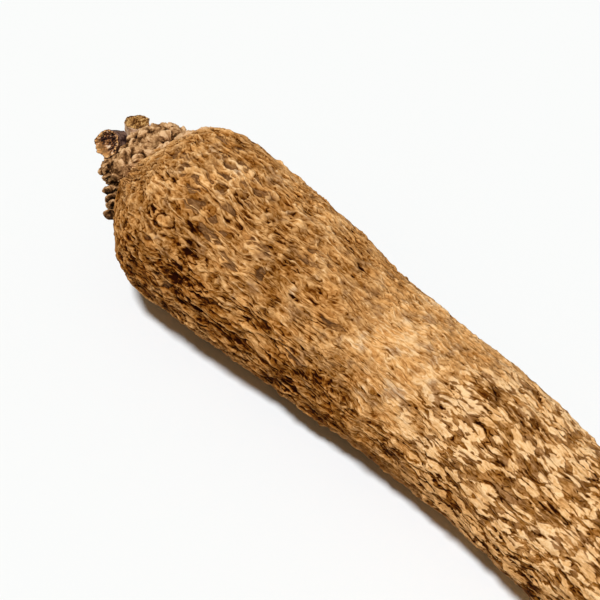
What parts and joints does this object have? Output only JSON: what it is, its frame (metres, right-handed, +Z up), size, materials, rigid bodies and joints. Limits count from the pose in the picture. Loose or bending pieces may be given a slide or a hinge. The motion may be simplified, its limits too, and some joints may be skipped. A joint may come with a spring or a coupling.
{
  "type": "pona yam",
  "caption": "Long whole yam tuber lying on its belly, with a swollen head, netted and plated cork bark, a knobby woody crown and dry vine ends.",
  "frame": {"origin": "on the surface that the yam lies on, under the middle of its box", "axes": "+X along the tuber from its crown to its tail, +Y to its side, +Z up"},
  "size_m": [0.4869, 0.1048, 0.1023],
  "materials": {
    "bark": "dry matt cork bark, tan ridges and plates over dark brown cracks",
    "dry_vine": "dry torn fibrous stem, dark brown with pale fibres"
  },
  "bodies": {
    "root": {"tuber": "bark", "vine_stub_large": "dry_vine", "vine_stub_small": "dry_vine"}
  },
  "joints": []
}
